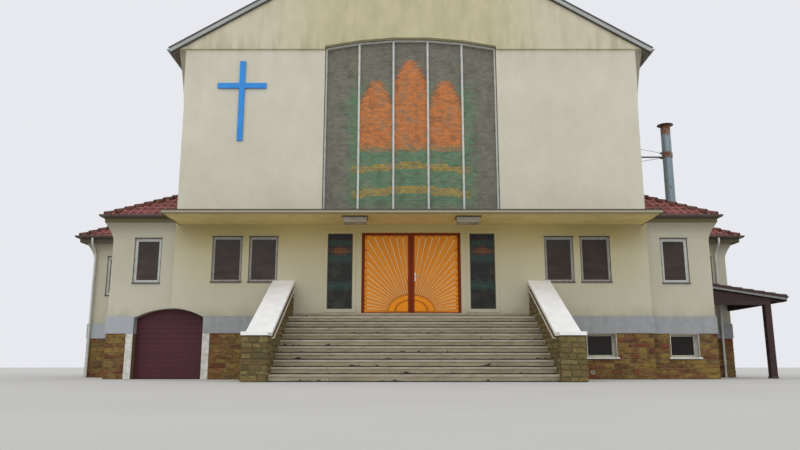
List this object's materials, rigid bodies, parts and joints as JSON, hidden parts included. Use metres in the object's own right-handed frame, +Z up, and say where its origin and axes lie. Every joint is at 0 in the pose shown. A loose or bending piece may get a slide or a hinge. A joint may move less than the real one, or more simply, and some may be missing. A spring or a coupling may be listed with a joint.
{
  "type": "modern church building",
  "caption": "Gabled church hall with a tall coloured window, canopy over double doors, front steps, low tiled side rooms and aisles on a stone base.",
  "frame": {"origin": "underside of the ground slab on the hall's middle line, halfway between front and back walls", "axes": "+X to the right seen from the front, +Y from the entrance into the building, +Z up"},
  "size_m": [21.59, 24.07, 13.4747],
  "materials": {
    "render": "matt plaster",
    "stone": "rough coursed stone",
    "concrete": "matt concrete",
    "coping_white": "painted concrete",
    "hall_roofing": "weathered clay",
    "red_tiles": "weathered clay",
    "gutter_metal": "weathered zinc",
    "window_frames": "white",
    "stained_glass": "coloured leaded glass",
    "side_glass": "dark leaded glass",
    "dark_glass": "dark",
    "door_frame_wood": "dark red-brown paint",
    "door_wood": "orange stained boards",
    "handle_metal": "brushed",
    "lamp_cover": "opal",
    "basement_boards": "burgundy paint",
    "flue_metal": "weathered and rusty",
    "cross_blue": "gloss paint",
    "porch_timber": "stained timber and tiles"
  },
  "bodies": {
    "building": {"front_wall_left": "render", "front_wall_right": "render", "door_lintel": "render", "upper_wall_left": "render", "upper_wall_right": "render", "front_gable": "render", "back_wall": "render", "hall_wall_left": "render", "hall_wall_right": "render", "side_wall_left": "render", "side_wall_right": "render", "canopy_slab": "render", "plinth_front": "stone", "plinth_back": "stone", "plinth_left": "stone", "plinth_right": "stone", "cheek_wall_left": "stone", "cheek_wall_right": "stone", "ground_slab": "concrete", "entrance_floor": "concrete", "front_steps": "concrete", "coping_left": "coping_white", "coping_right": "coping_white", "hall_roof_left": "hall_roofing", "hall_roof_right": "hall_roofing", "side_roof_left": "red_tiles", "side_roof_right": "red_tiles", "gutter_left": "gutter_metal", "gutter_right": "gutter_metal", "tall_window_frame": "window_frames", "front_window_left_1": "window_frames", "front_window_left_2": "window_frames", "front_window_right_1": "window_frames", "front_window_right_2": "window_frames", "wing_window_left": "window_frames", "wing_window_right": "window_frames", "aisle_window_left": "window_frames", "aisle_window_right": "window_frames", "basement_window_front": "window_frames", "basement_window_wing": "window_frames", "tall_window_glass": "stained_glass", "sidelight_left": "side_glass", "sidelight_right": "side_glass", "aisle_glass_left": "dark_glass", "aisle_glass_right": "dark_glass", "basement_glass_left": "dark_glass", "basement_glass_right": "dark_glass", "door_frame": "door_frame_wood", "handrail_left": "handle_metal", "handrail_right": "handle_metal", "canopy_lamp_left": "lamp_cover", "canopy_lamp_right": "lamp_cover", "basement_door": "basement_boards", "flue_pipe": "flue_metal", "wall_cross": "cross_blue", "side_porch": "porch_timber"},
    "door_left": {"door_leaf_left": "door_wood"},
    "door_right": {"door_leaf_right": "door_wood", "door_handle": "handle_metal"}
  },
  "joints": [
    {"name": "left_door_hinge", "type": "hinge", "parent": "building", "child": "door_left", "pos_m": [-1.259, -9.895, 2.8], "axis": [0, 0, -1], "range_deg": [0, 90]},
    {"name": "right_door_hinge", "type": "hinge", "parent": "building", "child": "door_right", "pos_m": [1.259, -9.895, 2.8], "axis": [0, 0, 1], "range_deg": [0, 90]}
  ]
}
